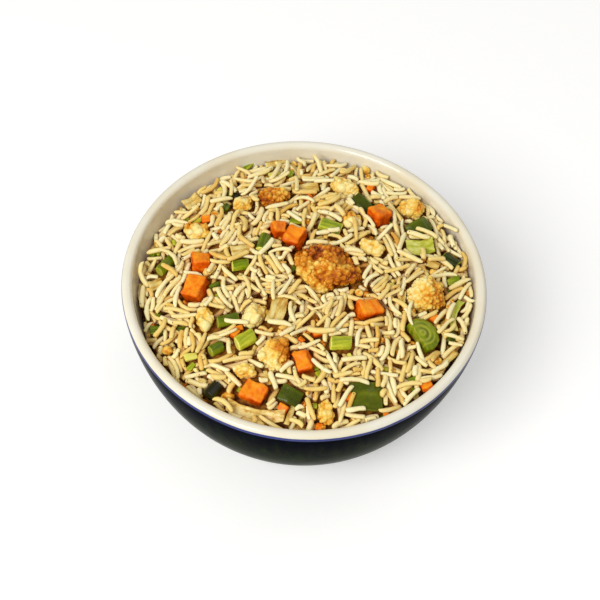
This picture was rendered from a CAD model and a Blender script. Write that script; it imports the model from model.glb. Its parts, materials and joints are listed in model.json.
"""A glazed bowl of fried rice with egg and vegetables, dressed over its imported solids.

The bowl is turned afresh, each topping is a refined copy of its solid, and the heap's solid gives way to
loose grains and crumbs that are settled one by one on a smaller core.
"""

import json
import logging
import math
from dataclasses import dataclass, field
from enum import Enum
from typing import Iterable, Optional

import bmesh
import bpy
import numpy as np
from mathutils import Matrix, Vector, noise
from mathutils.bvhtree import BVHTree


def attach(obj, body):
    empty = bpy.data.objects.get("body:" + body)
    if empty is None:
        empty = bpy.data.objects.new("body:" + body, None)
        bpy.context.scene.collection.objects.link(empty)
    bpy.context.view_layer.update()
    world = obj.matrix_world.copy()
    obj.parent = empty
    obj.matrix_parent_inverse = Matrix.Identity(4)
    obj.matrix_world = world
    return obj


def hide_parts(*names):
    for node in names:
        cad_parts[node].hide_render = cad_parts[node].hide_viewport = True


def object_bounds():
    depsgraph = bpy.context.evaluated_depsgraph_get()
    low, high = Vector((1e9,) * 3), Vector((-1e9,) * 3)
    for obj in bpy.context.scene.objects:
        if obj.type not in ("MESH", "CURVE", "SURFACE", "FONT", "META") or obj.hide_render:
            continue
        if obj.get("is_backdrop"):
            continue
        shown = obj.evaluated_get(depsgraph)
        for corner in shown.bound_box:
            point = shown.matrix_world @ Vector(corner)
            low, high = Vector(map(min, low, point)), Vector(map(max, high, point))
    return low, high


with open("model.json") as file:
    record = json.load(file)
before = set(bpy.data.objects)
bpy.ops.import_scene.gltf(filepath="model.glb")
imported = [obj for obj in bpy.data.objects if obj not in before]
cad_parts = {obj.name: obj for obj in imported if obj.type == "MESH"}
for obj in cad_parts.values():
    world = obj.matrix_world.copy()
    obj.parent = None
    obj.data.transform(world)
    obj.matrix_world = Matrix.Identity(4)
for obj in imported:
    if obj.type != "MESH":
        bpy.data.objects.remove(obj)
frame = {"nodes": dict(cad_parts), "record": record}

CAD_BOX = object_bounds()
MM = 0.001
ROOT = "root"
log = logging.getLogger("fried_rice_bowl")


# ------------------------------------------------------------------ colours and materials

@dataclass(frozen=True)
class Tone:
    """One colour as it looks on a screen.

    Attributes:
        red: Red, 0 to 255.
        green: Green, 0 to 255.
        blue: Blue, 0 to 255.
    """

    red: int
    green: int
    blue: int

    def linear(self) -> tuple[float, float, float, float]:
        """Return the colour as linear light with full alpha."""
        shares = (self.red / 255, self.green / 255, self.blue / 255)
        lit = [s / 12.92 if s <= 0.04045 else ((s + 0.055) / 1.055) ** 2.4 for s in shares]
        return (lit[0], lit[1], lit[2], 1.0)


class Surface:
    """A material under construction: one Principled shader and the nodes that feed it."""

    def __init__(self, name: str, roughness: float, specular: float = 0.5) -> None:
        """Start a material.

        Args:
            name: The material's name.
            roughness: The shader's roughness where nothing else feeds it.
            specular: The shader's specular level.
        """
        self.material = bpy.data.materials.new(name)
        self.material.use_nodes = True
        self.tree = self.material.node_tree
        self.shader = self.tree.nodes["Principled BSDF"]
        self.shader.inputs["Roughness"].default_value = roughness
        self.shader.inputs["Specular IOR Level"].default_value = specular

    def feed(self, socket: object, value: object) -> None:
        """Link a socket to an input, or set the input to a plain value."""
        if isinstance(value, bpy.types.NodeSocket):
            self.tree.links.new(value, socket)
        elif isinstance(value, Tone):
            socket.default_value = value.linear()
        else:
            socket.default_value = value

    def attribute(self, name: str) -> bpy.types.NodeSocket:
        """Return a number that the piece's points carry."""
        node = self.tree.nodes.new("ShaderNodeAttribute")
        node.attribute_name = name
        return node.outputs["Fac"]

    def place(self, name: str = "", stretch: tuple[float, float, float] = (1, 1, 1)) -> bpy.types.NodeSocket:
        """Return a place for patterns.

        Args:
            name: The attribute that holds the place, or nothing for Object coordinates.
            stretch: What each axis is multiplied by.

        Returns:
            The vector's socket.
        """
        if name:
            source = self.tree.nodes.new("ShaderNodeAttribute")
            source.attribute_name = name
            out = source.outputs["Vector"]
        else:
            out = self.tree.nodes.new("ShaderNodeTexCoord").outputs["Object"]
        mapping = self.tree.nodes.new("ShaderNodeMapping")
        mapping.inputs["Scale"].default_value = stretch
        self.tree.links.new(out, mapping.inputs["Vector"])
        return mapping.outputs["Vector"]

    def grain(self, place: bpy.types.NodeSocket, size: float, detail: float = 2.0) -> bpy.types.NodeSocket:
        """Return smooth noise.

        Args:
            place: Where the noise is read.
            size: Length of one blotch, in metres.
            detail: How many finer layers it has.

        Returns:
            A number from 0 to 1.
        """
        node = self.tree.nodes.new("ShaderNodeTexNoise")
        node.inputs["Scale"].default_value = 1.0 / size
        node.inputs["Detail"].default_value = detail
        self.tree.links.new(place, node.inputs["Vector"])
        return node.outputs["Fac"]

    def reckon(self, how: str, first: object, second: object) -> bpy.types.NodeSocket:
        """Return the result of a Math node on two numbers."""
        node = self.tree.nodes.new("ShaderNodeMath")
        node.operation = how
        self.feed(node.inputs[0], first)
        self.feed(node.inputs[1], second)
        return node.outputs[0]

    def times(self, first: object, second: object) -> bpy.types.NodeSocket:
        """Return the product of two numbers."""
        return self.reckon("MULTIPLY", first, second)

    def plus(self, first: object, second: object) -> bpy.types.NodeSocket:
        """Return the sum of two numbers."""
        return self.reckon("ADD", first, second)

    def minus(self, first: object, second: object) -> bpy.types.NodeSocket:
        """Return the first number less the second."""
        return self.reckon("SUBTRACT", first, second)

    def spread(self, value: object, low: float, high: float) -> bpy.types.NodeSocket:
        """Return the value stretched so that low becomes 0 and high becomes 1, and clamped there."""
        node = self.tree.nodes.new("ShaderNodeMapRange")
        node.interpolation_type = "SMOOTHSTEP"
        self.feed(node.inputs["Value"], value)
        node.inputs["From Min"].default_value = low
        node.inputs["From Max"].default_value = high
        return node.outputs["Result"]

    def ramp(self, factor: object, stops: Iterable[tuple[float, Tone]]) -> bpy.types.NodeSocket:
        """Return a colour that runs through the stops as the factor rises."""
        node = self.tree.nodes.new("ShaderNodeValToRGB")
        stops = list(stops)
        elements = node.color_ramp.elements
        while len(elements) < len(stops):
            elements.new(0.5)
        for element, (where, _) in zip(elements, stops):
            element.position = where
        for element, (_, tone) in zip(elements, stops):
            element.color = tone.linear()
        self.feed(node.inputs["Fac"], factor)
        return node.outputs["Color"]

    def blend(self, factor: object, first: object, second: object) -> bpy.types.NodeSocket:
        """Return a colour between two, by a factor from 0 to 1."""
        node = self.tree.nodes.new("ShaderNodeMix")
        node.data_type = "RGBA"
        self.feed(node.inputs["Factor"], factor)
        self.feed(node.inputs[6], first)
        self.feed(node.inputs[7], second)
        return node.outputs[2]

    def relief(self, height: object, depth: float) -> None:
        """Press a pattern into the surface by depth metres."""
        node = self.tree.nodes.new("ShaderNodeBump")
        node.inputs["Strength"].default_value = 1.0
        node.inputs["Distance"].default_value = depth
        self.feed(node.inputs["Height"], height)
        self.tree.links.new(node.outputs["Normal"], self.shader.inputs["Normal"])

    def colour(self, value: object) -> None:
        """Set the base colour."""
        self.feed(self.shader.inputs["Base Color"], value)

    def gloss(self, value: object) -> None:
        """Set the roughness."""
        self.feed(self.shader.inputs["Roughness"], value)

    def glow_within(self, weight: float, depth: float, tint: tuple[float, float, float]) -> None:
        """Let a little light through the surface, to the depth given in metres."""
        self.shader.inputs["Subsurface Weight"].default_value = weight
        self.shader.inputs["Subsurface Scale"].default_value = depth
        self.shader.inputs["Subsurface Radius"].default_value = tint


@dataclass(frozen=True)
class GlazeFinish:
    """Cream glaze inside, a cobalt line under the lip, and dark glaze outside."""

    cream: Tone = Tone(240, 235, 216)
    cream_thin: Tone = Tone(236, 226, 198)
    line: Tone = Tone(36, 50, 122)
    navy: Tone = Tone(7, 9, 20)
    bottle: Tone = Tone(40, 54, 12)
    clay: Tone = Tone(176, 158, 128)
    line_start: float = 2.3
    line_end: float = 3.5

    def build(self) -> bpy.types.Material:
        """Return the material; it reads the run along the wall from the lip's top, in millimetres."""
        surface = Surface("bowl_glaze", roughness=0.12)
        place = surface.place()
        run = surface.attribute("run")
        wave = surface.times(surface.grain(place, 0.012), 0.5)
        edge = surface.plus(run, surface.minus(wave, 0.25))
        pooled = surface.spread(surface.grain(place, 0.02), 0.35, 0.75)
        cream = surface.blend(pooled, self.cream, self.cream_thin)
        streak = surface.grain(surface.place(stretch=(1.0, 1.0, 0.25)), 0.0035, 3.0)
        low = surface.spread(surface.plus(run, surface.times(streak, 26.0)), 16.0, 46.0)
        outside = surface.blend(low, self.navy, surface.blend(streak, self.navy, self.bottle))
        lined = surface.blend(surface.spread(edge, self.line_start, self.line_start + 0.35), cream, self.line)
        outer = surface.spread(edge, self.line_end, self.line_end + 0.8)
        glazed = surface.blend(outer, lined, outside)
        bare = surface.spread(run, BowlShape().foot_run(), BowlShape().foot_run() + 0.4)
        surface.colour(surface.blend(bare, glazed, self.clay))
        surface.gloss(surface.plus(surface.times(bare, 0.5), 0.11))
        surface.feed(surface.shader.inputs["IOR"], surface.minus(1.45, surface.times(outer, 0.42)))
        surface.relief(surface.grain(place, 0.009, 1.0), 0.00012)
        return surface.material


@dataclass(frozen=True)
class RiceFinish:
    """Cooked long-grain rice with a film of seasoned oil."""

    name: str = "rice_grain"
    stained: Tone = Tone(202, 136, 44)
    warm: Tone = Tone(230, 182, 82)
    pale: Tone = Tone(246, 216, 130)
    white: Tone = Tone(254, 240, 186)
    deep: Tone = Tone(180, 94, 18)

    def build(self) -> bpy.types.Material:
        """Return the material; it reads tint, depth and side, 0 on top and 1 underneath, from the grains."""
        surface = Surface(self.name, roughness=0.38, specular=0.22)
        place = surface.place()
        mottle = surface.times(surface.grain(place, 0.0035), 0.5)
        tint = surface.plus(surface.attribute("tint"), surface.minus(mottle, 0.25))
        stain = surface.times(surface.spread(surface.attribute("side"), 0.3, 0.95), 0.5)
        tint = surface.minus(tint, stain)
        stops = ((0.0, self.stained), (0.25, self.warm), (0.6, self.pale), (1.0, self.white))
        body = surface.ramp(tint, stops)
        deep = surface.times(surface.attribute("depth"), 0.85)
        surface.colour(surface.blend(deep, body, self.deep))
        surface.gloss(surface.plus(surface.times(surface.grain(place, 0.004), 0.3), 0.22))
        surface.relief(surface.grain(place, 0.0011), 0.00008)
        surface.glow_within(0.2, 0.0016, (1.0, 0.72, 0.4))
        return surface.material


@dataclass(frozen=True)
class CoreFinish:
    """The shaded rice that shows between the loose grains."""

    dark: Tone = Tone(74, 28, 4)
    light: Tone = Tone(214, 140, 48)

    def build(self) -> bpy.types.Material:
        """Return the material."""
        surface = Surface("rice_core", roughness=0.45, specular=0.15)
        place = surface.place()
        blotches = surface.grain(place, 0.0028, 3.0)
        surface.colour(surface.ramp(blotches, ((0.35, self.dark), (0.7, self.light))))
        surface.relief(surface.grain(place, 0.002), 0.0004)
        return surface.material


@dataclass(frozen=True)
class EggFinish:
    """Fried egg, from pale curd to browned crust, by the height of its crags."""

    char: Tone = Tone(92, 34, 4)
    brown: Tone = Tone(164, 76, 8)
    golden: Tone = Tone(218, 134, 22)
    yellow: Tone = Tone(246, 200, 84)
    curd: Tone = Tone(253, 234, 158)

    def build(self) -> bpy.types.Material:
        """Return the material; it reads crag, from hollow 0 to ridge 1, and brown, from pale 0 to crust 1."""
        surface = Surface("fried_egg", roughness=0.4, specular=0.2)
        place = surface.place()
        fine = surface.times(surface.grain(place, 0.0012, 3.0), 0.36)
        level = surface.times(surface.attribute("crag"), 0.55)
        pale = surface.times(surface.minus(1.0, surface.attribute("brown")), 0.62)
        mixed = surface.plus(surface.plus(level, pale), surface.minus(fine, 0.18))
        stops = (
            (0.05, self.char), (0.26, self.brown), (0.48, self.golden),
            (0.72, self.yellow), (1.0, self.curd),
        )
        surface.colour(surface.ramp(mixed, stops))
        surface.gloss(surface.plus(surface.times(surface.grain(place, 0.0025), 0.35), 0.2))
        surface.relief(surface.grain(place, 0.0009), 0.00012)
        surface.glow_within(0.12, 0.0015, (1.0, 0.6, 0.2))
        return surface.material


@dataclass(frozen=True)
class CarrotFinish:
    """Cooked carrot: bright orange with redder, darker cut sides."""

    deep: Tone = Tone(190, 54, 2)
    orange: Tone = Tone(232, 102, 4)
    bright: Tone = Tone(252, 166, 36)

    def build(self) -> bpy.types.Material:
        """Return the material; it reads the piece's own coordinates."""
        surface = Surface("carrot", roughness=0.36, specular=0.15)
        own = surface.place("own", (1.0, 1.0, 0.35))
        rings = surface.grain(own, 0.0016, 2.0)
        broad = surface.grain(surface.place("own"), 0.005)
        mixed = surface.plus(surface.times(rings, 0.5), surface.times(broad, 0.4))
        mixed = surface.plus(mixed, surface.times(surface.attribute("top"), 0.26))
        surface.colour(surface.ramp(mixed, ((0.34, self.deep), (0.55, self.orange), (0.85, self.bright))))
        surface.relief(rings, 0.00012)
        surface.glow_within(0.06, 0.001, (1.0, 0.5, 0.1))
        return surface.material


@dataclass(frozen=True)
class GreenFinish:
    """A green vegetable: coloured skin with stripes along it, and paler cut faces.

    Attributes:
        name: The material's name.
        dark: Skin in its darker streaks.
        light: Skin in its lighter streaks.
        cut: The cut faces.
        streak: Width of a streak, in metres.
        roughness: The skin's roughness.
        shadow: Skin of the darkest pieces.
    """

    name: str
    dark: Tone
    light: Tone
    cut: Tone
    streak: float = 0.0012
    roughness: float = 0.22
    shadow: Tone = Tone(30, 28, 4)

    def build(self) -> bpy.types.Material:
        """Return the material; it reads own coordinates, skin, 1 on the skin and 0 on a cut, and shade."""
        surface = Surface(self.name, roughness=self.roughness, specular=0.25)
        lines = surface.grain(surface.place("own", (0.12, 1.0, 1.0)), self.streak, 2.0)
        broad = surface.grain(surface.place("own"), 0.004)
        mixed = surface.plus(surface.times(lines, 0.6), surface.times(broad, 0.4))
        mixed = surface.plus(mixed, surface.attribute("shade"))
        skin = surface.ramp(mixed, ((0.0, self.shadow), (0.34, self.dark), (0.68, self.light)))
        pith = surface.blend(surface.grain(surface.place("own"), 0.0016), self.cut, self.light)
        surface.colour(surface.blend(surface.spread(surface.attribute("skin"), 0.3, 0.7), pith, skin))
        surface.relief(lines, 0.00006)
        surface.glow_within(0.1, 0.0012, (0.6, 1.0, 0.2))
        return surface.material


@dataclass(frozen=True)
class CabbageFinish:
    """Soft cooked cabbage and onion, pale and half clear, with browner veins."""

    name: str = "cabbage"
    vein: Tone = Tone(184, 126, 40)
    leaf: Tone = Tone(222, 190, 98)
    pale: Tone = Tone(242, 226, 158)

    def build(self) -> bpy.types.Material:
        """Return the material; it reads the piece's own coordinates."""
        surface = Surface(self.name, roughness=0.28, specular=0.25)
        lines = surface.grain(surface.place("own", (0.25, 1.0, 1.0)), 0.0014, 2.0)
        surface.colour(surface.ramp(lines, ((0.3, self.vein), (0.5, self.leaf), (0.75, self.pale))))
        surface.relief(lines, 0.0001)
        surface.glow_within(0.15, 0.0015, (1.0, 0.8, 0.35))
        return surface.material


@dataclass(frozen=True)
class SpeckFinish:
    """Ground black pepper and scorched crumbs."""

    black: Tone = Tone(22, 14, 8)
    brown: Tone = Tone(86, 50, 22)

    def build(self) -> bpy.types.Material:
        """Return the material."""
        surface = Surface("pepper_speck", roughness=0.6)
        blotches = surface.grain(surface.place(), 0.0015)
        surface.colour(surface.ramp(blotches, ((0.4, self.black), (0.7, self.brown))))
        return surface.material


class Finish(Enum):
    """Every finish of the food, by the record's slot."""

    EGG = "egg"
    CARROT = "carrot"
    PEPPER = "pepper"
    SPRING_ONION = "spring_onion"
    BEAN = "bean"
    CABBAGE = "cabbage"
    LEAF = "leaf"

    def build(self) -> bpy.types.Material:
        """Return this finish's material."""
        makers = {
            Finish.EGG: EggFinish(),
            Finish.CARROT: CarrotFinish(),
            Finish.PEPPER: GreenFinish(
                "green_pepper", Tone(72, 82, 2), Tone(106, 114, 6), Tone(176, 180, 76), 0.003, 0.2
            ),
            Finish.SPRING_ONION: GreenFinish(
                "spring_onion", Tone(122, 142, 6), Tone(218, 214, 62), Tone(238, 228, 128), 0.0011, 0.28
            ),
            Finish.BEAN: GreenFinish(
                "green_bean", Tone(72, 92, 2), Tone(138, 150, 18), Tone(178, 170, 62), 0.0016, 0.3
            ),
            Finish.CABBAGE: CabbageFinish(),
            Finish.LEAF: CabbageFinish(
                "green_leaf", Tone(150, 160, 24), Tone(196, 196, 70), Tone(226, 222, 140)
            ),
        }
        return makers[self].build()


# ------------------------------------------------------------------ meshes

def finish_piece(piece: bpy.types.Object, material: bpy.types.Material, slot: str) -> bpy.types.Object:
    """Shade, dress and attach a finished piece.

    Args:
        piece: The object, with its place in its mesh.
        material: Its material.
        slot: The record's material slot that it belongs to.

    Returns:
        The same object.
    """
    piece.data.materials.clear()
    piece.data.materials.append(material)
    piece.data.shade_smooth()
    set_values(piece.data, "top", np.clip(normals_of(piece.data)[:, 2], 0, 1))
    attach(piece, ROOT)
    log.info("%s: %d faces", piece.name, len(piece.data.polygons))
    return piece


def link_mesh(name: str, mesh: bpy.types.Mesh) -> bpy.types.Object:
    """Return a new object in the scene that shows the mesh."""
    piece = bpy.data.objects.new(name, mesh)
    bpy.context.scene.collection.objects.link(piece)
    return piece


def link_shape(name: str, shape: bmesh.types.BMesh) -> bpy.types.Object:
    """Return a new object that holds a bmesh, and free the bmesh."""
    mesh = bpy.data.meshes.new(name)
    shape.to_mesh(mesh)
    shape.free()
    return link_mesh(name, mesh)


def points_of(mesh: bpy.types.Mesh) -> np.ndarray:
    """Return the mesh's points as rows of x, y, z."""
    flat = np.empty(len(mesh.vertices) * 3, np.float32)
    mesh.vertices.foreach_get("co", flat)
    return flat.reshape(-1, 3).astype(float)


def normals_of(mesh: bpy.types.Mesh) -> np.ndarray:
    """Return the mesh's point normals as rows of x, y, z."""
    flat = np.empty(len(mesh.vertices) * 3, np.float32)
    mesh.vertices.foreach_get("normal", flat)
    return flat.reshape(-1, 3).astype(float)


def move_points(mesh: bpy.types.Mesh, points: np.ndarray) -> None:
    """Put the mesh's points at new places."""
    mesh.vertices.foreach_set("co", points.astype(np.float32).ravel())
    mesh.update()


def set_values(mesh: bpy.types.Mesh, name: str, values: np.ndarray) -> None:
    """Store one number, or one vector, for each point."""
    kind, key = ("FLOAT_VECTOR", "vector") if values.ndim == 2 else ("FLOAT", "value")
    layer = mesh.attributes.new(name, kind, "POINT")
    layer.data.foreach_set(key, values.astype(np.float32).ravel())


def knobs_at(points: np.ndarray, size: float, seed: float) -> np.ndarray:
    """Return rounded knobs, from -1 in the creases between them to 1 on their tops, of that size."""
    shift = Vector((seed * 3.7, seed * 6.1, seed * 2.3))
    reach = np.array([noise.voronoi(Vector(p) / size + shift)[0][:2] for p in points])
    dome = 1 - 1.6 * reach[:, 0]
    crease = np.clip((reach[:, 1] - reach[:, 0]) / 0.28, 0, 1)
    return np.clip(0.6 * dome + 0.8 * crease - 0.55, -1, 1)


def noise_at(points: np.ndarray, size: float, seed: float) -> np.ndarray:
    """Return smooth noise from -1 to 1 at each point, with blotches of that size."""
    shift = Vector((seed * 5.3, seed * 2.9, seed * 7.1))
    return np.array([noise.noise(Vector(p) / size + shift) for p in points])


def neighbours(grid: np.ndarray, step: int = 1) -> list[np.ndarray]:
    """Return the grid moved by some cells each way along each axis."""
    return [np.roll(grid, way * step, axis) for axis in (0, 1) for way in (1, -1)]


class MeshPile:
    """Many small shapes that become one mesh, with numbers stored for their points."""

    def __init__(self, name: str) -> None:
        """Start an empty pile.

        Args:
            name: The finished object's name.
        """
        self.name = name
        self.points: list[np.ndarray] = []
        self.faces: list[tuple[int, ...]] = []
        self.values: dict[str, list[np.ndarray]] = {}
        self.count = 0

    def add(self, points: np.ndarray, faces: Iterable[tuple[int, ...]], **values: object) -> None:
        """Add one shape.

        Args:
            points: Its points.
            faces: Its faces, as indices of those points.
            **values: A number for the shape, or an array with one row for each point.
        """
        self.points.append(points)
        self.faces.extend(tuple(corner + self.count for corner in face) for face in faces)
        for name, value in values.items():
            rows = value if isinstance(value, np.ndarray) else np.full(len(points), float(value))
            self.values.setdefault(name, []).append(rows)
        self.count += len(points)

    def build(self, material: bpy.types.Material, slot: str) -> bpy.types.Object:
        """Return the pile as one finished piece."""
        mesh = bpy.data.meshes.new(self.name)
        mesh.from_pydata(np.concatenate(self.points).tolist(), [], self.faces)
        for name, rows in self.values.items():
            set_values(mesh, name, np.concatenate(rows))
        return finish_piece(link_mesh(self.name, mesh), material, slot)


# ------------------------------------------------------------------ bowl

@dataclass
class BowlShape:
    """The turned bowl; every length is in metres.

    Attributes:
        rim_radius: Outer radius of the lip.
        rim_height: Height of the lip's top.
        lip: Thickness of the lip.
        body_depth: From the lip's top to where the wall meets the foot.
        foot_join: Radius where the wall meets the foot.
        foot_radius: Outer radius of the foot ring.
        foot_width: Width of the foot ring.
        foot_ease: Size of the eases on the foot ring's edges.
        recess: Height of the hollow inside the foot ring.
        floor_height: Height of the floor inside.
        floor_radius: Radius of the flat of that floor.
        outer_fullness: How full the outer wall's curve is, down and across.
        inner_fullness: How full the inner wall's curve is, down and across.
        steps: Points round the bowl.
        wall_steps: Points down each wall, less one.
        lip_steps: Spans of the lip's half circle.
    """

    rim_radius: float = 0.075
    rim_height: float = 0.068
    lip: float = 0.0045
    body_depth: float = 0.0636
    foot_join: float = 0.040
    foot_radius: float = 0.0378
    foot_width: float = 0.0054
    foot_ease: float = 0.0005
    recess: float = 0.0025
    floor_height: float = 0.010
    floor_radius: float = 0.030
    outer_fullness: tuple[float, float] = (1.56, 2.3)
    inner_fullness: tuple[float, float] = (1.4, 2.1)
    steps: int = 160
    wall_steps: int = 26
    lip_steps: int = 10

    def wall(self, top: float, base: float, high: float, low: float, full: tuple, turn: float) -> tuple:
        """Return radius and height on a wall; the turn is 0 at its top and a right angle at its base."""
        down = math.sin(turn) ** (2 / full[0])
        across = max(math.cos(turn), 0.0) ** (2 / full[1])
        return base + (top - base) * across, high - (high - low) * down

    def inside(self, turn: float) -> tuple[float, float]:
        """Return radius and height on the inner wall."""
        high = self.rim_height - self.lip / 2
        inner_top = self.rim_radius - self.lip
        return self.wall(inner_top, self.floor_radius, high, self.floor_height, self.inner_fullness, turn)

    def outside(self, turn: float) -> tuple[float, float]:
        """Return radius and height on the outer wall."""
        high = self.rim_height - self.lip / 2
        low = self.rim_height - self.body_depth
        return self.wall(self.rim_radius, self.foot_join, high, low, self.outer_fullness, turn)

    def turns(self) -> list[float]:
        """Return the turns at which the walls have a point."""
        return [math.pi / 2 * step / self.wall_steps for step in range(self.wall_steps + 1)]

    def lip_arc(self) -> list[tuple[float, float]]:
        """Return the lip's half circle, from inside to outside, without its ends."""
        half = self.lip / 2
        middle = self.rim_radius - half
        turns = [math.pi * step / self.lip_steps for step in range(1, self.lip_steps)]
        level = self.rim_height - half
        return [(middle - half * math.cos(turn), level + half * math.sin(turn)) for turn in turns]

    def foot(self) -> list[tuple[float, float]]:
        """Return the foot ring and the hollow inside it, from outside to the middle."""
        inner = self.foot_radius - self.foot_width
        ease = self.foot_ease
        return [
            (self.foot_radius + 2 * ease, self.rim_height - self.body_depth - ease / 2),
            (self.foot_radius + ease, self.rim_height - self.body_depth - 2 * ease),
            (self.foot_radius, 3 * ease),
            (self.foot_radius - 0.3 * ease, 0.3 * ease),
            (self.foot_radius - ease, 0.0),
            (inner + ease, 0.0),
            (inner + 0.3 * ease, 0.3 * ease),
            (inner, 2 * ease),
            (inner - ease, self.recess - 0.2 * ease),
            (inner - 3 * ease, self.recess),
            (0.0, self.recess),
        ]

    def profile(self) -> list[tuple[float, float]]:
        """Return the half section, from the floor's middle over the lip to the middle underneath."""
        inner = [self.inside(turn) for turn in reversed(self.turns())]
        outer = [self.outside(turn) for turn in self.turns()]
        return [(0.0, self.floor_height)] + inner + self.lip_arc() + outer + self.foot()

    def runs(self) -> list[float]:
        """Return each profile point's distance along the wall from the lip's top, in millimetres."""
        points = self.profile()
        lengths = [math.dist(a, b) for a, b in zip(points, points[1:])]
        along = np.concatenate([[0.0], np.cumsum(lengths)])
        top = 1 + self.wall_steps + 1 + self.lip_steps // 2 - 1
        return list((along - along[top]) / MM)

    def foot_run(self) -> float:
        """Return the run at which the foot's standing face starts."""
        points = self.profile()
        return self.runs()[points.index((self.foot_radius - self.foot_ease, 0.0))] - 0.3

    def inner_radius(self, heights: np.ndarray) -> np.ndarray:
        """Return the inner wall's radius at each height."""
        wall = np.array([self.inside(turn) for turn in reversed(self.turns())])
        return np.interp(heights, wall[:, 1], wall[:, 0])

    def wall_height(self, radii: np.ndarray) -> np.ndarray:
        """Return the inner wall's height at each radius, and the rim's height outside it."""
        wall = np.array([self.inside(turn) for turn in reversed(self.turns())])
        return np.interp(radii, wall[:, 0], wall[:, 1], left=self.floor_height, right=self.rim_height)

    def build(self) -> bpy.types.Object:
        """Return the bowl as a finished piece."""
        shape = bmesh.new()
        run = shape.verts.layers.float.new("run")
        rings = [shape.verts.new((radius, 0.0, height)) for radius, height in self.profile()]
        for point, value in zip(rings, self.runs()):
            point[run] = value
        for first, second in zip(rings, rings[1:]):
            shape.edges.new((first, second))
        bmesh.ops.spin(
            shape, geom=shape.verts[:] + shape.edges[:], cent=(0, 0, 0), axis=(0, 0, 1),
            angle=2 * math.pi, steps=self.steps, use_merge=True,
        )
        bmesh.ops.remove_doubles(shape, verts=shape.verts, dist=1e-5)
        bmesh.ops.recalc_face_normals(shape, faces=shape.faces)
        piece = link_shape("glazed_bowl", shape)
        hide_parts("bowl")
        return finish_piece(piece, GlazeFinish().build(), "bowl_glaze")


# ------------------------------------------------------------------ toppings

@dataclass(frozen=True)
class Crag:
    """How a lump of egg breaks up.

    Attributes:
        brown: How far the whole lump is browned, 0 to 1.
        patch: How much the browning varies over it.
        side: Direction towards which it is browner.
        rough: Height of its crags against the usual.
        calm: How smooth its smoother patches are, 0 to 1.
    """

    brown: float
    patch: float = 0.35
    side: tuple[float, float, float] = (0.0, 0.0, 0.0)
    rough: float = 1.0
    calm: float = 0.5


EGG_CRAGS = {
    "egg_crusty": Crag(0.76, 0.7, (0.15, 0.45, 0.0), 1.3, 0.5),
    "egg_round": Crag(0.3, 0.3, (0.6, -0.2, 0.0), 1.1, 0.3),
    "egg_browned": Crag(0.7, 0.4, rough=1.1, calm=0.3),
    "egg_nub": Crag(0.2, 0.3, rough=0.9, calm=0.8),
    "egg_flat": Crag(0.12, 0.3, rough=1.0, calm=0.8),
    "egg_folded": Crag(0.4, 0.5, (0.0, 0.5, 0.0), 1.0, 0.9),
    "egg_back": Crag(0.35, 0.4, rough=1.1, calm=0.6),
    "egg_left": Crag(0.4, 0.6, (0.3, 0.6, 0.0), 1.1, 0.8),
    "egg_pale": Crag(0.2, 0.4, rough=0.6, calm=1.0),
    "egg_front": Crag(0.42, 0.5, (0.6, 0.4, 0.0), 1.2, 0.6),
    "egg_wide": Crag(0.1, 0.3, (0.4, 0.0, 0.0), 0.6, 1.0),
    "egg_strip": Crag(0.25, 0.4, rough=0.6, calm=1.0),
    "egg_edge": Crag(0.35, 0.4, rough=1.0, calm=0.7),
    "egg_speckled": Crag(0.12, 0.3, rough=0.6, calm=1.0),
}


SLICE_MIDDLE = (0.0483, -0.0242)
SLICE_SKIN = 0.0054
RING_PITCH = 0.0021
BROWN_SHADE = -0.4
LEAVES = ("cabbage_2", "cabbage_4")
SHADES = {
    "spring_onion_1": -0.08, "spring_onion_2": -0.28, "spring_onion_3": -0.16, "bean_1": 0.05,
    "bean_3": -0.3, "bean_4": -0.5, "stalk_slice": 0.1, "pepper_2": -0.1, "pepper_3": -0.2, "pepper_4": -0.2,
}


def refined_copy(node: str, voxel: float, smoothing: int) -> bpy.types.Object:
    """Return a fine, even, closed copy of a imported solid.

    Args:
        node: The solid's name.
        voxel: Size of the new mesh's cells, in metres.
        smoothing: How many times it is smoothed, which rounds its edges.

    Returns:
        The new object.
    """
    shape = bmesh.new()
    shape.from_mesh(frame["nodes"][node].data)
    bmesh.ops.remove_doubles(shape, verts=shape.verts, dist=1e-6)
    coarse = link_shape(node + "_coarse", shape)
    remesh = coarse.modifiers.new("even", "REMESH")
    remesh.mode = "VOXEL"
    remesh.voxel_size = voxel
    even = coarse.evaluated_get(bpy.context.evaluated_depsgraph_get())
    fine = bmesh.new()
    fine.from_mesh(even.to_mesh())
    even.to_mesh_clear()
    bpy.data.objects.remove(coarse, do_unlink=True)
    for _ in range(smoothing):
        bmesh.ops.smooth_vert(
            fine, verts=fine.verts, factor=0.5, use_axis_x=True, use_axis_y=True, use_axis_z=True
        )
    return link_shape(node + "_food", fine)


def own_axes(points: np.ndarray) -> np.ndarray:
    """Return a piece's own axes as rows, its longest first and its thinnest last."""
    spread = np.cov((points - points.mean(axis=0)).T)
    _, axes = np.linalg.eigh(spread)
    return axes[:, ::-1].T


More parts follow.
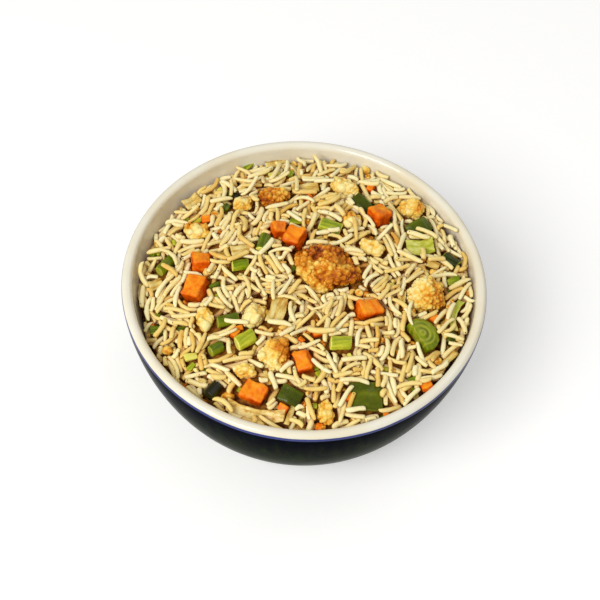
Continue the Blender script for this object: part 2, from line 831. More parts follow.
@dataclass
class Toppings:
    """Every piece of topping that has a solid of its own.

    Attributes:
        materials: The finishes made so far, by slot.
        covers: Each finished piece's points, for the rice to be settled round.
    """

    EGG_CELL = 0.00036
    CUT_CELL = 0.0003
    LEAF_CELL = 0.00026

    materials: dict[Finish, bpy.types.Material] = field(default_factory=dict)
    covers: list[np.ndarray] = field(default_factory=list)

    def material(self, finish: Finish) -> bpy.types.Material:
        """Return a finish's material, made once."""
        if finish not in self.materials:
            self.materials[finish] = finish.build()
        return self.materials[finish]

    def build(self) -> None:
        """Make a food piece for each topping solid."""
        makers = {Finish.EGG: self.egg, Finish.CARROT: self.carrot, Finish.CABBAGE: self.cabbage}
        slots = {part["node"]: part["material_slot"] for part in frame["record"]["subparts"]}
        known = {finish.value: finish for finish in Finish}
        for seed, node in enumerate(sorted(slots), start=1):
            if slots[node] not in known:
                continue
            finish = known[slots[node]]
            piece = makers.get(finish, self.green)(node, seed)
            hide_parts(node)
            dressed = Finish.LEAF if node in LEAVES else finish
            finish_piece(piece, self.material(dressed), slots[node])
            self.covers.append(points_of(piece.data))

    def egg(self, node: str, seed: int) -> bpy.types.Object:
        """Return a craggy lump of egg with its crag and browning stored."""
        crag = EGG_CRAGS[node]
        piece = refined_copy(node, self.EGG_CELL, 7)
        mesh = piece.data
        points, normals = points_of(mesh), normals_of(mesh)
        knobs = knobs_at(points, 0.0042, seed)
        crumbs = knobs_at(points, 0.0022, seed + 0.5)
        fine = noise_at(points, 0.0009, seed + 0.7)
        calm = crag.calm * np.clip(0.5 + 1.4 * noise_at(points, 0.007, seed + 0.9), 0, 1)
        height = (0.0008 * knobs + 0.0007 * (1 - calm) * crumbs + 0.0002 * fine) * crag.rough
        move_points(mesh, points + normals * height[:, None])
        level = np.clip(0.45 + 0.25 * knobs + 0.36 * (1 - calm) * crumbs + 0.3 * calm + 0.15 * fine, 0, 1)
        middle, reach = points.mean(axis=0), np.ptp(points, axis=0).max() / 2
        leaning = ((points - middle) / reach) @ np.array(crag.side)
        patches = noise_at(points, 0.006, seed + 0.2)
        set_values(mesh, "crag", level)
        set_values(mesh, "brown", np.clip(crag.brown + crag.patch * patches + 0.8 * leaning, 0, 1))
        return piece

    def carrot(self, node: str, seed: int) -> bpy.types.Object:
        """Return a dice of carrot with soft edges."""
        piece = refined_copy(node, self.CUT_CELL, 3)
        points, normals = points_of(piece.data), normals_of(piece.data)
        swell = 0.0009 * noise_at(points, 0.0045, seed) + 0.00015 * noise_at(points, 0.0014, seed)
        move_points(piece.data, points + normals * swell[:, None])
        self.store_own(piece.data, points)
        return piece

    def green(self, node: str, seed: int) -> bpy.types.Object:
        """Return a piece of pepper, bean or onion, with skin and cuts told apart."""
        piece = refined_copy(node, self.CUT_CELL, 3)
        points, normals = points_of(piece.data), normals_of(piece.data)
        axes = self.store_own(piece.data, points)
        swell = 0.0001 * noise_at(points, 0.0022, seed)
        move_points(piece.data, points + normals * swell[:, None])
        if node.startswith("pepper"):
            skin = np.abs(normals @ axes[2])
        elif node == "stalk_slice":
            skin = self.rings(points)
        else:
            skin = 1 - np.abs(normals @ axes[0])
        if SHADES.get(node, 0.0) < BROWN_SHADE:
            skin = np.ones(len(points))
        set_values(piece.data, "skin", skin)
        set_values(piece.data, "shade", np.full(len(points), SHADES.get(node, 0.0)))
        return piece

    def rings(self, points: np.ndarray) -> np.ndarray:
        """Return how dark the ringed slice is, from 0 in its pale layers to 1 in its skin."""
        reach = np.hypot(points[:, 0] - SLICE_MIDDLE[0], points[:, 1] - SLICE_MIDDLE[1])
        layers = 0.55 + 0.35 * np.cos(reach / RING_PITCH * 2 * math.pi)
        return np.where(reach > SLICE_SKIN, 1.0, layers)

    def cabbage(self, node: str, seed: int) -> bpy.types.Object:
        """Return a wrinkled shred of cabbage."""
        piece = refined_copy(node, self.LEAF_CELL, 4)
        points, normals = points_of(piece.data), normals_of(piece.data)
        swell = 0.00022 * noise_at(points, 0.0028, seed) + 0.0001 * noise_at(points, 0.001, seed)
        move_points(piece.data, points + normals * swell[:, None])
        self.store_own(piece.data, points)
        return piece

    def store_own(self, mesh: bpy.types.Mesh, points: np.ndarray) -> np.ndarray:
        """Store the points' places along the piece's own axes, and return those axes."""
        axes = own_axes(points)
        set_values(mesh, "own", (points - points.mean(axis=0)) @ axes.T)
        return axes


# ------------------------------------------------------------------ rice

@dataclass(frozen=True)
class Lie:
    """Where and how a small thing came to rest, in metres and radians."""

    place: np.ndarray
    heading: float
    slope: float
    length: float
    width: float
    bow: float
    depth: float


class RiceBed:
    """A height map of what is in the bowl, on which small things settle one by one.

    Attributes:
        CELL: Side of one of the map's cells.
        CORE_DEPTH: How far the core's top lies under the heap's surface.
        SQUEEZE: How far things press into each other.
        HOLE: How far under the heap's surface the map is where something is still missing.
        REFRESH: How many things are tried before the holes are looked for again.
        EDGE_GAP: How far from the wall holes are looked for.
        SPANS: How many places are measured on either side of a thing's middle.
        SHARES: Where across a thing its underside is measured, in radii.
        SLOPE_COST: How much higher a level place may be than one with a slope of 1.
        OVER_COST: How much higher a clear place may be than one that is all on a topping.
        MOST_OVER: The most of a thing that may lie on a topping.
        DRAPED: The least and the most of a draped thing that lies on a topping.
        BARRED: What is added to the height of a place that isn't allowed.
        STEEPEST: The steepest slope.
    """

    CELL = 0.00025
    CORE_DEPTH = 0.0033
    SQUEEZE = 0.0004
    HOLE = 0.0010
    REFRESH = 25
    EDGE_GAP = 0.0015
    SPANS = 4
    SHARES = (-0.85, -0.45, 0.0, 0.45, 0.85)
    SLOPE_COST = 0.003
    OVER_COST = 0.0015
    MOST_OVER = 0.45
    DRAPED = (0.25, 0.75)
    BARRED = 1.0
    STEEPEST = 1.0

    def __init__(self, bowl: BowlShape, covers: list[np.ndarray], seed: int) -> None:
        """Start with the core, the bowl's wall and the toppings.

        Args:
            bowl: The bowl round the rice.
            covers: The toppings' points.
            seed: Seed of the random draws.
        """
        self.random = np.random.default_rng(seed)
        self.bowl = bowl
        self.reach = bowl.rim_radius
        self.cells = int(2 * self.reach / self.CELL) + 1
        line = np.linspace(-self.reach, self.reach, self.cells)
        self.x, self.y = np.meshgrid(line, line, indexing="ij")
        self.covered = self.raster(covers)
        self.target = self.read_target()
        self.height = np.maximum(self.target - self.CORE_DEPTH, bowl.wall_height(np.hypot(self.x, self.y)))
        self.height = np.maximum(self.height, self.covered)
        self.cover_mask = self.covered > 0
        self.settled = 0
        self.draping = False
        self.inside = np.hypot(self.x, self.y) < bowl.inner_radius(self.target) - self.EDGE_GAP
        self.holes = np.flatnonzero(self.inside)

    def index(self, x: np.ndarray, y: np.ndarray) -> tuple[np.ndarray, np.ndarray]:
        """Return the map's cells at the given places."""
        column = np.clip(((x + self.reach) / self.CELL).round().astype(int), 0, self.cells - 1)
        row = np.clip(((y + self.reach) / self.CELL).round().astype(int), 0, self.cells - 1)
        return column, row

    def raster(self, covers: list[np.ndarray]) -> np.ndarray:
        """Return the toppings' upper surface as a height map, 0 where there is none."""
        covered = np.zeros((self.cells, self.cells))
        for points in covers:
            np.maximum.at(covered, self.index(points[:, 0], points[:, 1]), points[:, 2])
        for axis in (0, 1):
            covered = np.maximum.reduce([covered, np.roll(covered, 1, axis), np.roll(covered, -1, axis)])
        return covered

    def read_target(self) -> np.ndarray:
        """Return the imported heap's upper surface, read by rays and carried across its sockets."""
        tree = BVHTree.FromPolygons(*self.heap_polygons())
        step = 4
        coarse_x, coarse_y = self.x[::step, ::step], self.y[::step, ::step]
        heights = np.full(coarse_x.shape, np.nan)
        for cell in np.ndindex(coarse_x.shape):
            hit = tree.ray_cast(Vector((coarse_x[cell], coarse_y[cell], 0.2)), Vector((0, 0, -1)))[0]
            if hit is not None:
                heights[cell] = hit.z
        near = self.covered[::step, ::step] > 0
        for _ in range(2):
            near = np.logical_or.reduce([near, *neighbours(near)])
        unknown = near | np.isnan(heights)
        heights[unknown] = np.nanmean(heights)
        for _ in range(400):
            around = sum(neighbours(heights)) / 4
            heights[unknown] = around[unknown]
        fine = np.arange(self.cells) / step
        low = np.clip(fine.astype(int), 0, heights.shape[0] - 2)
        share = np.clip(fine - low, 0, 1)
        rows = heights[low] * (1 - share)[:, None] + heights[low + 1] * share[:, None]
        return rows[:, low] * (1 - share) + rows[:, low + 1] * share

    def heap_polygons(self) -> tuple[list, list]:
        """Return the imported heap's points and triangles."""
        mesh = frame["nodes"]["rice_heap"].data
        return [v.co[:] for v in mesh.vertices], [tuple(p.vertices) for p in mesh.polygons]

    def line_up(self, x: np.ndarray, y: np.ndarray, heading: np.ndarray, bow: float, length: float,
                along: np.ndarray, across: np.ndarray) -> tuple[np.ndarray, np.ndarray]:
        """Return places on a bent strip.

        Args:
            x: Middles of the strips.
            y: Middles of the strips.
            heading: Their headings.
            bow: How far the ends stand off the middle's line, in metres.
            length: Their length.
            along: Distances along a strip.
            across: Distances across it.

        Returns:
            The places' x and y, with strips as rows.
        """
        side = across + bow * ((2 * along / length) ** 2 - 1 / 3)
        c, s = np.cos(heading)[:, None], np.sin(heading)[:, None]
        return x[:, None] + along * c - side * s, y[:, None] + along * s + side * c

    def edges(self) -> np.ndarray:
        """Return the cells along the outlines of what is kept clear."""
        mask = self.cover_mask
        inner = np.logical_and.reduce([mask, *neighbours(mask, 3)])
        return np.flatnonzero(mask & ~inner & self.inside)

    def openings(self, tries: int, length: float) -> tuple[np.ndarray, np.ndarray, np.ndarray]:
        """Return places and headings for a thing that length, so that most of them reach into a hole."""
        if self.draping:
            self.holes = self.edges()
        elif self.settled % self.REFRESH == 0:
            self.holes = np.flatnonzero((self.target - self.height > self.HOLE) & self.inside)
            if len(self.holes) < 50:
                self.holes = np.flatnonzero(self.inside)
        self.settled += 1
        cells = self.random.choice(self.holes, tries)
        heading = 2 * math.pi * self.random.random(tries)
        offset = self.random.uniform(-0.4, 0.4, tries) * length
        return (self.x.ravel()[cells] + offset * np.cos(heading),
                self.y.ravel()[cells] + offset * np.sin(heading), heading)

    def embed(self, length: float, width: float, at: tuple[float, float, float]) -> Lie:
        """Set one thing half into the heap's surface at a place and a heading, and keep it clear."""
        column, row = self.index(np.array(at[0]), np.array(at[1]))
        z = float(self.target[column, row]) + 0.15 * width
        self.stamp(at[0], at[1], z - self.SQUEEZE, at[2], 0.0, length, width, 0.0, True)
        place = np.array([at[0], at[1], z])
        return Lie(place, at[2], self.random.uniform(-0.15, 0.15), length, width, 0.0, 0.0)

    def settle(self, length: float, width: float, bow: float, tries: int, above: float,
               lean: float = 0.0) -> Optional[Lie]:
        """Let one small thing fall at several places and keep the lowest.

        Args:
            length: Its length.
            width: Its width.
            bow: How far it is bent sideways.
            tries: How many places are tried.
            above: How far its top may stand above the heap's surface.
            lean: A slope added to the one that it rests at.

        Returns:
            Where it lies, or nothing if every place is too high.
        """
        r = width / 2
        x, y, heading = self.openings(tries, length)
        half = max(length / 2 - 0.6 * r, 0.2 * r)
        spans = self.SPANS
        along = np.linspace(-half, half, 2 * spans + 1)
        zs = []
        for share in self.SHARES:
            px, py = self.line_up(x, y, heading, bow, length, along, share * r)
            zs.append(self.height[self.index(px, py)] + r * math.sqrt(1 - share ** 2))
        rest = np.max(zs, axis=0)
        px, py = self.line_up(x, y, heading, bow, length, along, 0.0)
        far = np.hypot(px, py).max(axis=1)
        before, after = along[:spans], along[spans + 1:]
        low, high = rest[:, :spans], rest[:, spans + 1:]
        hull = low[:, :, None] * after[None, None, :] - high[:, None, :] * before[None, :, None]
        hull = hull / (after[None, None, :] - before[None, :, None])
        middle = np.maximum(hull.reshape(tries, -1).max(axis=1), rest[:, spans])
        steep_up = ((high - middle[:, None]) / after).max(axis=1)
        steep_down = ((low - middle[:, None]) / before).min(axis=1)
        slope = np.clip(0.0, np.minimum(steep_up, steep_down), np.maximum(steep_up, steep_down))
        top = middle + r - self.target[self.index(x, y)]
        over = self.cover_mask[self.index(px, py)].mean(axis=1)
        room = self.bowl.inner_radius(middle) - 0.8 * r
        least, most = self.DRAPED if self.draping else (0.0, self.MOST_OVER)
        barred = (far > room) | (over < least) | (over > most)
        score = top + self.SLOPE_COST * np.abs(slope) + self.OVER_COST * over + self.BARRED * barred
        best = int(np.argmin(score))
        if score[best] > above or abs(slope[best]) > self.STEEPEST:
            return None
        tilt = slope[best] + lean
        z = middle[best] + abs(lean) * 0.35 * length
        depth = float(np.clip((0.0005 - top[best]) / 0.004, 0, 1))
        self.stamp(x[best], y[best], z - self.SQUEEZE, heading[best], tilt, length, 0.85 * width, bow, False)
        place = np.array([x[best], y[best], z - 0.6 * self.SQUEEZE])
        return Lie(place, float(heading[best]), float(math.atan(tilt)), length, width, bow, depth)

    def stamp(self, x: float, y: float, z: float, heading: float, slope: float, length: float,
              width: float, bow: float, keep: bool) -> None:
        """Raise the map where a thing has come to rest, and keep it clear if asked."""
        r = width / 2
        half = length / 2 - 0.4 * r
        along = np.linspace(-half, half, max(int(2 * half / (0.8 * self.CELL)), 2))
        across = np.linspace(-0.95 * r, 0.95 * r, max(int(2 * r / (0.8 * self.CELL)), 2))
        s, l = (a.ravel() for a in np.meshgrid(along, across))
        px, py = self.line_up(np.array([x]), np.array([y]), np.array([heading]), bow, length, s, l)
        z = z + slope * s + np.sqrt(np.maximum(r * r - l * l, 0))
        cells = self.index(px[0], py[0])
        np.maximum.at(self.height, cells, z)
        if keep:
            self.cover_mask[cells] = True


def grain_template(sides: int, stations: tuple[tuple[float, float], ...]) -> tuple[np.ndarray, list]:
    """Make a straight grain of length 2 and radius 1 along X.

    Args:
        sides: How many sides it has.
        stations: The place along the grain and the radius of each ring.

    Returns:
        Its points and its faces.
    """
    shape = bmesh.new()
    bmesh.ops.create_circle(
        shape, cap_ends=True, segments=sides, radius=stations[0][1],
        matrix=Matrix.Rotation(math.pi / 2, 4, "Y"),
    )
    bmesh.ops.translate(shape, verts=shape.verts, vec=(stations[0][0], 0, 0))
    bmesh.ops.reverse_faces(shape, faces=shape.faces)
    edges = shape.edges[:]
    for (here, radius), (there, wider) in zip(stations, stations[1:]):
        ring = bmesh.ops.extrude_edge_only(shape, edges=edges)["geom"]
        points = [item for item in ring if isinstance(item, bmesh.types.BMVert)]
        edges = [item for item in ring if isinstance(item, bmesh.types.BMEdge)]
        bmesh.ops.translate(shape, verts=points, vec=(there - here, 0, 0))
        bmesh.ops.scale(shape, verts=points, vec=(1, wider / radius, wider / radius))
    bmesh.ops.contextual_create(shape, geom=edges)
    bmesh.ops.recalc_face_normals(shape, faces=shape.faces)
    shape.verts.index_update()
    points = np.array([point.co[:] for point in shape.verts])
    faces = [tuple(point.index for point in face.verts) for face in shape.faces]
    shape.free()
    return points, faces


BLUNT = (
    (-1.0, 0.5), (-0.955, 0.82), (-0.8, 0.97), (-0.3, 1.0),
    (0.3, 1.0), (0.8, 0.97), (0.955, 0.82), (1.0, 0.5),
)
TAPERED = (
    (-1.0, 0.34), (-0.93, 0.6), (-0.72, 0.84), (-0.3, 0.98),
    (0.3, 1.0), (0.78, 0.95), (0.95, 0.8), (1.0, 0.48),
)
SNAPPED = (
    (-1.0, 0.82), (-0.97, 0.93), (-0.7, 1.0), (-0.2, 1.0),
    (0.35, 0.98), (0.78, 0.9), (0.95, 0.66), (1.0, 0.36),
)


def lay_points(points: np.ndarray, lie: Lie, roll: float, sag: float = 0.0) -> np.ndarray:
    """Put a template, of half length 1 along X and radius 1, where a thing lies.

    Args:
        points: The template's points.
        lie: Where and how it lies.
        roll: Its turn about its own length.
        sag: How far its ends hang below its middle, in metres.

    Returns:
        The points in the frame.
    """
    along = points[:, 0] * lie.length / 2
    c, s = math.cos(roll), math.sin(roll)
    side = (points[:, 1] * c - points[:, 2] * s) * lie.width / 2
    up = (points[:, 1] * s + points[:, 2] * c) * lie.width / 2
    side = side + lie.bow * (points[:, 0] ** 2 - 1 / 3)
    up = up - sag * (points[:, 0] ** 2 - 1 / 3)
    forward = along * math.cos(lie.slope) - up * math.sin(lie.slope)
    rise = along * math.sin(lie.slope) + up * math.cos(lie.slope)
    c, s = math.cos(lie.heading), math.sin(lie.heading)
    return lie.place + np.stack([forward * c - side * s, forward * s + side * c, rise], axis=1)


@dataclass(frozen=True)
class Chosen:
    """A small piece with a place of its own, in millimetres and degrees.

    Attributes:
        kind: What it is made of.
        x: Its place to the right.
        y: Its place to the back.
        length: Its length.
        width: Its width.
        heading: The way it points, from the X axis.
        shade: How much lighter than usual it is; less than 0 is darker.
    """

    kind: Finish
    x: float
    y: float
    length: float
    width: float
    heading: float = 0.0
    shade: float = 0.0


CHOSEN = (
    Chosen(Finish.CARROT, -44, 28, 5.0, 3.6, 20),
    Chosen(Finish.CARROT, 25.6, 52.2, 4.2, 3.4, 70),
    Chosen(Finish.CARROT, -4.3, -60.5, 4.6, 3.2, -30),
    Chosen(Finish.CARROT, -25.7, -30.8, 4.2, 3.2, 60),
    Chosen(Finish.CARROT, 50.5, -45.9, 5.2, 3.6, 30),
    Chosen(Finish.CARROT, 20.1, -54.1, 4.0, 3.0, 80),
    Chosen(Finish.CARROT, 6.6, -28.6, 4.6, 3.0, 20),
    Chosen(Finish.BEAN, -64.3, 11.5, 5.0, 3.4, 60, -0.2),
    Chosen(Finish.BEAN, -17.2, 56.8, 5.6, 3.4, 30, -0.15),
    Chosen(Finish.BEAN, -29.1, 63.5, 6.4, 3.2, 60, -0.05),
    Chosen(Finish.BEAN, -9.9, 58.2, 3.6, 2.6, 80, -0.1),
    Chosen(Finish.BEAN, -34.0, 43.5, 5.2, 2.6, -10, -0.45),
    Chosen(Finish.BEAN, -36.2, 35.0, 4.2, 3.0, 70, -0.3),
    Chosen(Finish.BEAN, -5.8, 27.1, 5.6, 3.0, 10, -0.05),
    Chosen(Finish.BEAN, 61.2, 4.7, 6.6, 3.0, 35, -0.1),
    Chosen(Finish.BEAN, 60.4, -22.5, 5.0, 3.6, 80, -0.4),
    Chosen(Finish.BEAN, -57.6, -28.4, 6.0, 4.4, 10, -0.3),
    Chosen(Finish.BEAN, -42.2, -40.8, 5.6, 3.4, 20, -0.25),
    Chosen(Finish.EGG, -50.3, 52.0, 4.6, 3.6, 20),
    Chosen(Finish.EGG, 23.0, 64.5, 4.6, 3.8, 0),
    Chosen(Finish.EGG, 6.0, 38.7, 6.0, 3.4, -10),
    Chosen(Finish.EGG, 22.3, -7.5, 3.6, 3.0, 0),
    Chosen(Finish.CABBAGE, 41.7, -33.9, 5.0, 3.4, 60),
    Chosen(Finish.CABBAGE, 53.0, 11.5, 5.0, 3.6, -20),
    Chosen(Finish.CABBAGE, -1.4, -62.5, 10.0, 2.0, 75),
    Chosen(Finish.CABBAGE, -18.0, 65.5, 8.0, 3.6, 20),
    Chosen(Finish.CABBAGE, -61.0, -5.9, 6.0, 4.6, 30),
    Chosen(Finish.EGG, -52.2, -37.2, 4.6, 3.8, 0),
)


@dataclass
class RiceHeap:
    """Loose grains and crumbs over a smaller core.

    Attributes:
        bowl: The bowl that holds them.
        toppings: The larger pieces already in place.
        grain_count: The most grains that are laid.
        length_range: Shortest and longest whole grain.
        width_range: Thinnest and thickest grain.
        proud: How far a grain may stand above the heap's surface.
        draped_proud: The same for the last grains, which lie over the toppings' edges.
        top_up_tries: How many more crumbs and short grains are tried in what gaps are left.
        draped_tries: How many grains are tried over the toppings' edges.
        speck_count: How many specks of pepper there are.
        seed: Seed of the random draws.
    """

    CORE_SIDES = 96
    CORE_RINGS = 34
    CORE_FIRST_RING = 0.02
    CORE_BASE = 0.03
    CORE_MEETS_WALL = 0.054
    CORE_GAP = 0.0005

    bowl: BowlShape
    toppings: Toppings
    grain_count: int = 2900
    length_range: tuple[float, float] = (0.0068, 0.0126)
    width_range: tuple[float, float] = (0.0017, 0.0023)
    proud: float = 0.0019
    draped_proud: float = 0.0055
    top_up_tries: int = 320
    draped_tries: int = 70
    speck_count: int = 420
    seed: int = 7

    def build(self) -> None:
        """Settle everything and make the pieces."""
        self.bed = RiceBed(self.bowl, self.toppings.covers, self.seed)
        self.random = self.bed.random
        self.templates = [grain_template(8, shape) for shape in (BLUNT, TAPERED, SNAPPED)]
        self.piles = {name: MeshPile(name) for name in (
            "rice_grains_low", "rice_grains_top", "egg_crumbs", "carrot_crumbs", "green_crumbs",
            "cabbage_shreds", "pepper_specks")}
        self.fill()
        self.make_core()
        self.make_specks()
        rice = RiceFinish().build()
        self.piles["rice_grains_low"].build(rice, "rice")
        self.piles["rice_grains_top"].build(rice, "rice")
        for name, finish in (("egg_crumbs", Finish.EGG), ("carrot_crumbs", Finish.CARROT),
                             ("green_crumbs", Finish.SPRING_ONION), ("cabbage_shreds", Finish.CABBAGE)):
            self.piles[name].build(self.toppings.material(finish), finish.value)
        self.piles["pepper_specks"].build(SpeckFinish().build(), "rice")

    def fill(self) -> None:
        """Lay grains, with crumbs among them, until the heap's surface is reached."""
        self.lay_chosen()
        missed = 0
        laid = 0
        while laid < self.grain_count and missed < 60:
            if laid > 350 and self.random.random() < 0.22:
                self.lay_crumb()
            if self.lay_grain(14 if missed < 8 else 90, missed > 20):
                laid += 1
                missed = 0
            else:
                missed += 1
        for _ in range(self.top_up_tries):
            self.lay_crumb()
            self.lay_grain(30, True)
        self.bed.draping = True
        self.proud = self.draped_proud
        for _ in range(self.draped_tries):
            self.lay_grain(6, False)
        log.info("rice: %d grains laid", laid)

    def lay_grain(self, tries: int, short: bool) -> bool:
        """Lay one grain of rice, the best of some tries and short if asked; return whether it found room."""
        draw = self.random
        broken = short or draw.random() < 0.14
        length = draw.uniform(0.0034, 0.0066) if broken else draw.triangular(
            self.length_range[0], 0.0102, self.length_range[1])
        width = draw.uniform(*self.width_range)
        bow = draw.normal(0, 0.07) * length if draw.random() < 0.85 else draw.uniform(-0.2, 0.2) * length
        lean = draw.uniform(0.25, 0.7) * draw.choice((-1, 1)) if draw.random() < 0.06 else 0.0
        proud = self.proud + (draw.uniform(0.0, 0.0016) if draw.random() < 0.15 else 0.0)
        lie = self.bed.settle(length, width, bow, tries, proud, lean)
        if lie is None:
            return False
        points, faces = self.templates[2 if broken else draw.choice((0, 0, 1))]
        shape = points.copy()
        round_about = np.arctan2(points[:, 2], points[:, 1])
        wave = 1 + 0.07 * np.sin(points[:, 0] * draw.uniform(2, 5) + draw.uniform(0, 6))
        wave += 0.06 * np.sin(2 * round_about + draw.uniform(0, 6) + 2 * points[:, 0])
        shape[:, 1:] *= wave[:, None]
        shape[:, 2] *= draw.uniform(0.78, 0.95)
        roll = draw.uniform(-0.6, 0.6)
        shape[:, 1] += draw.normal(0, 0.5) * (points[:, 0] ** 3 - 0.6 * points[:, 0])
        placed = lay_points(shape, lie, roll, draw.normal(0.0001, 0.00025))
        side = 0.5 - 0.5 * (points[:, 1] * math.sin(roll) + points[:, 2] * math.cos(roll))
        tint = float(np.clip(draw.normal(0.78 - 0.3 * lie.depth, 0.2), 0, 1))
        sunk = self.bed.target[self.bed.index(placed[:, 0], placed[:, 1])] + 0.0008 - placed[:, 2]
        depth = np.clip(sunk / 0.0042, 0, 1)
        pile = self.piles["rice_grains_low" if lie.depth > 0.35 else "rice_grains_top"]
        pile.add(placed, faces, tint=tint, depth=depth, side=side)
        return True

    def lay_chosen(self) -> None:
        """Lay the small pieces that have a place of their own."""
        for piece in CHOSEN:
            makers = {Finish.EGG: self.egg_crumb, Finish.CARROT: self.carrot_crumb,
                      Finish.BEAN: self.green_crumb, Finish.CABBAGE: self.cabbage_shred}
            makers[piece.kind](piece)

    def lay_crumb(self) -> None:
        """Lay one crumb of a random kind."""
        draw = self.random
        makers = [self.egg_crumb, self.carrot_crumb, self.green_crumb, self.cabbage_shred]
        makers[draw.choice(4, p=[0.44, 0.1, 0.14, 0.32])](None)

    def find_lie(self, chosen: Optional[Chosen], low: float, high: float, long: float) -> Optional[Lie]:
        """Return where a crumb lies.

        Args:
            chosen: The piece that it is, or nothing for a random one.
            low: Least width of a random one.
            high: Greatest width of a random one.
            long: Greatest length of a random one, in widths.

        Returns:
            Where it lies, or nothing if it found no room.
        """
        if chosen is not None:
            place = (chosen.x * MM, chosen.y * MM, math.radians(chosen.heading))
            return self.bed.embed(chosen.length * MM, chosen.width * MM, place)
        width = self.random.uniform(low, high)
        length = width * self.random.uniform(1.0, long)
        return self.bed.settle(length, width, 0.0, 16, self.proud)

    def egg_crumb(self, chosen: Optional[Chosen]) -> None:
        """Lay a crumb of egg, 2 to 5 mm long."""
        draw = self.random
        lie = self.find_lie(chosen, 0.0016, 0.0036, 1.7)
        if lie is None:
            return
        points, faces = self.ball(2)
        lump = noise_at(points, 0.7, draw.uniform(0, 50))
        shape = points * (1 + 0.35 * lump)[:, None]
        placed = lay_points(shape, lie, draw.uniform(0, 6))
        brown = np.full(len(points), np.clip(draw.normal(0.45, 0.3), 0, 1))
        self.piles["egg_crumbs"].add(placed, faces, crag=np.clip(0.55 + lump, 0, 1), brown=brown)

    def carrot_crumb(self, chosen: Optional[Chosen]) -> None:
        """Lay a scrap of carrot, 2 to 5 mm long."""
        draw = self.random
        lie = self.find_lie(chosen, 0.0018, 0.0034, 1.8)
        if lie is not None:
            self.add_block("carrot_crumbs", lie, draw.uniform(0.6, 0.95))

    def green_crumb(self, chosen: Optional[Chosen]) -> None:
        """Lay a scrap of green onion, bean or leaf, 2 to 5 mm long."""
        draw = self.random
        lie = self.find_lie(chosen, 0.0016, 0.0030, 1.9)
        shade = draw.uniform(-0.45, 0.05) if chosen is None else chosen.shade
        if lie is not None:
            skin = float(draw.random() < 0.85)
            self.add_block("green_crumbs", lie, draw.uniform(0.35, 0.7), skin=skin, shade=shade)

    def add_block(self, pile: str, lie: Lie, flat: float, **values: float) -> None:
        """Add a small eased block, twisted a little, to a pile."""
        draw = self.random
        points, faces = self.block()
        twist = [noise_at(points, 1.3, draw.uniform(0, 50)) for _ in range(3)]
        shape = points + 0.22 * np.stack(twist, axis=1)
        shape[:, 2] *= flat
        placed = lay_points(shape, lie, draw.uniform(-0.5, 0.5))
        own = points * np.array([lie.length, lie.width, lie.width * flat]) / 2 + draw.uniform(0, 0.1)
        self.piles[pile].add(placed, faces, own=own, **values)

    def cabbage_shred(self, chosen: Optional[Chosen]) -> None:
        """Lay a soft shred of cabbage or onion, 3 to 14 mm long."""
        draw = self.random
        lie = self.find_lie(chosen, 0.0018, 0.0038, 4.0)
        if lie is None:
            return
        length, width = lie.length, lie.width
        points, faces = self.strip()
        shape = points.copy()
        shape[:, 2] += 0.5 * noise_at(points * np.array([length / width, 1, 0]), 1.6, draw.uniform(0, 50))
        shape[:, 1] *= 1 + 0.3 * noise_at(points * np.array([2.0, 0, 0]), 1.0, draw.uniform(0, 50))
        placed = lay_points(shape, lie, draw.uniform(-0.4, 0.4))
        own = points * np.array([length, width, width]) / 2 + draw.uniform(0, 0.1)
        self.piles["cabbage_shreds"].add(placed, faces, own=own)

    def ball(self, detail: int) -> tuple[np.ndarray, list]:
        """Return a ball of radius 1."""
        shape = bmesh.new()
        bmesh.ops.create_icosphere(shape, subdivisions=detail, radius=1.0)
        return self.taken(shape)

    def block(self) -> tuple[np.ndarray, list]:
        """Return a cube of half side 0.9 with eased edges."""
        shape = bmesh.new()
        bmesh.ops.create_cube(shape, size=1.8)
        bmesh.ops.bevel(
            shape, geom=shape.edges[:], affect="EDGES", offset=0.26, segments=2, profile=0.5, material=-1
        )
        return self.taken(shape)

    def strip(self) -> tuple[np.ndarray, list]:
        """Return a flat strip of half length 1 and half width 0.95."""
        shape = bmesh.new()
        bmesh.ops.create_grid(shape, x_segments=8, y_segments=3, size=1.0)
        bmesh.ops.solidify(shape, geom=shape.faces[:], thickness=0.3)
        bmesh.ops.scale(shape, verts=shape.verts, vec=(1.0, 0.95, 1.0))
        bmesh.ops.recalc_face_normals(shape, faces=shape.faces)
        return self.taken(shape)

    def taken(self, shape: bmesh.types.BMesh) -> tuple[np.ndarray, list]:
        """Return a bmesh's points and faces, and free it."""
        shape.verts.index_update()
        points = np.array([point.co[:] for point in shape.verts])
        faces = [tuple(point.index for point in face.verts) for face in shape.faces]
        shape.free()
        return points, faces

    def make_specks(self) -> None:
        """Dust the top of the grains with ground pepper."""
        draw = self.random
        grains = np.concatenate(self.piles["rice_grains_top"].points)
        column, row = self.bed.index(grains[:, 0], grains[:, 1])
        open_tops = grains[grains[:, 2] > self.bed.height[column, row] - 0.0003]
        points, faces = self.ball(1)
        for place in open_tops[draw.choice(len(open_tops), self.speck_count, replace=False)]:
            size = draw.uniform(0.00012, 0.0003)
            shape = points * (1 + 0.4 * noise_at(points, 0.8, draw.uniform(0, 50)))[:, None]
            self.piles["pepper_specks"].add(place + shape * size * np.array([1.2, 1.0, 0.6]), faces)

